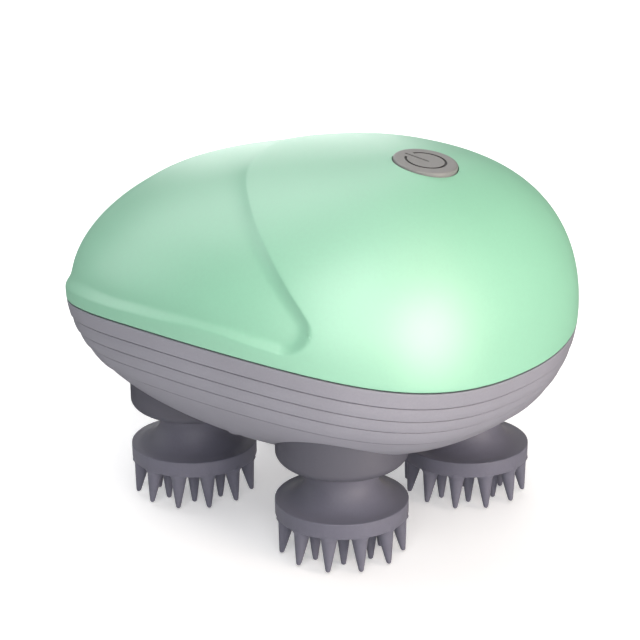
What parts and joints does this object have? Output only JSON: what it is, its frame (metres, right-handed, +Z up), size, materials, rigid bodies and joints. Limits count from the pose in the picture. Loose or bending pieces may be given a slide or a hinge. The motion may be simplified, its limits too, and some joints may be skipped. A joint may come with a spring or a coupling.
{
  "type": "electric scalp massager",
  "caption": "Palm-sized egg-shaped scalp massager with a mint hood, grey underside and turning heads of soft fingers, driven through gears by one motor.",
  "frame": {"origin": "centre of the bounding box in plan, on the surface that the finger tips stand on", "axes": "+X to the wide end with the power button, +Z up from the finger tips to the dome"},
  "size_m": [0.1176, 0.1022, 0.0818],
  "materials": {
    "cover": "satin moulded, mint green",
    "case": "fine texture, grey",
    "collar": "satin, dark grey",
    "silicone": "matt silicone, dark grey",
    "button": "satin, warm grey with a dark engraved mark",
    "seal": "matt",
    "plug": "matt, grey",
    "board": "solder resist",
    "chip": "matt",
    "switch": "matt",
    "cell": "shrink sleeve",
    "inner": "as moulded",
    "gear": "natural acetal",
    "steel": "ground",
    "can": "zinc plated",
    "brass": "machined",
    "bronze": "sintered",
    "lens": "frosted light guide"
  },
  "bodies": {
    "body": {"top_cover": "cover", "bottom_case": "case", "seam_gasket": "seal", "button_seal": "seal", "tact_switch": "switch", "control_board": "board", "controller_chip": "chip", "board_screws": "steel", "battery_cell": "cell", "battery_cradle": "inner", "charge_board": "board", "charge_socket": "steel", "indicator_lens": "lens", "motor_can": "can", "gear_axles": "steel", "gear_plate": "inner", "plate_screws": "steel", "case_screws": "steel", "shaft_bushes": "bronze", "shaft_seals": "seal", "collar_rl": "collar", "collar_rr": "collar", "collar_fl": "collar", "collar_fr": "collar"},
    "button": {"power_button": "button"},
    "plug": {"port_plug": "plug"},
    "rotor": {"motor_shaft": "steel", "motor_pinion": "brass"},
    "idler": {"double_gear": "gear"},
    "center": {"center_gear": "gear"},
    "head_rl": {"pad_rl": "silicone", "hub_rl": "inner", "shaft_rl": "steel", "gear_rl": "gear"},
    "head_rr": {"pad_rr": "silicone", "hub_rr": "inner", "shaft_rr": "steel", "gear_rr": "gear"},
    "head_fl": {"pad_fl": "silicone", "hub_fl": "inner", "shaft_fl": "steel", "gear_fl": "gear"},
    "head_fr": {"pad_fr": "silicone", "hub_fr": "inner", "shaft_fr": "steel", "gear_fr": "gear"}
  },
  "joints": [
    {"name": "button_press", "type": "slide", "parent": "body", "child": "button", "axis": [-0.1736, 0, -0.9848], "range_m": [0, 0.0006], "stiffness_N_per_m": 4000, "springref_m": -0.0002},
    {"name": "plug_swing", "type": "hinge", "parent": "body", "child": "plug", "pos_m": [-0.0562, 0, 0.04235], "axis": [0, -1, 0], "range_deg": [0, 90], "stiffness_Nm_per_rad": 0.002},
    {"name": "center_spin", "type": "hinge", "parent": "body", "child": "center", "pos_m": [0.0063, 0, 0.034], "axis": [0, 0, 1], "continuous": true},
    {"name": "idler_spin", "type": "hinge", "parent": "body", "child": "idler", "pos_m": [-0.0171, 0, 0.04], "axis": [0, 0, 1], "continuous": true},
    {"name": "rotor_spin", "type": "hinge", "parent": "body", "child": "rotor", "pos_m": [-0.0016, 0, 0.044], "axis": [0, 0, 1], "continuous": true},
    {"name": "head_rl_spin", "type": "hinge", "parent": "body", "child": "head_rl", "pos_m": [-0.0162, 0.02059, 0.02], "axis": [0, 0, 1], "continuous": true},
    {"name": "head_rr_spin", "type": "hinge", "parent": "body", "child": "head_rr", "pos_m": [-0.0162, -0.02059, 0.02], "axis": [0, 0, 1], "continuous": true},
    {"name": "head_fl_spin", "type": "hinge", "parent": "body", "child": "head_fl", "pos_m": [0.0288, 0.02059, 0.02], "axis": [0, 0, 1], "continuous": true},
    {"name": "head_fr_spin", "type": "hinge", "parent": "body", "child": "head_fr", "pos_m": [0.0288, -0.02059, 0.02], "axis": [0, 0, 1], "continuous": true}
  ],
  "couplings": [
    {"joint": "idler_spin", "follows": "center_spin", "ratio": -5.5},
    {"joint": "rotor_spin", "follows": "center_spin", "ratio": 22.917},
    {"joint": "head_rl_spin", "follows": "center_spin", "ratio": -1.7727},
    {"joint": "head_rr_spin", "follows": "center_spin", "ratio": -1.7727},
    {"joint": "head_fl_spin", "follows": "center_spin", "ratio": -1.7727},
    {"joint": "head_fr_spin", "follows": "center_spin", "ratio": -1.7727}
  ]
}
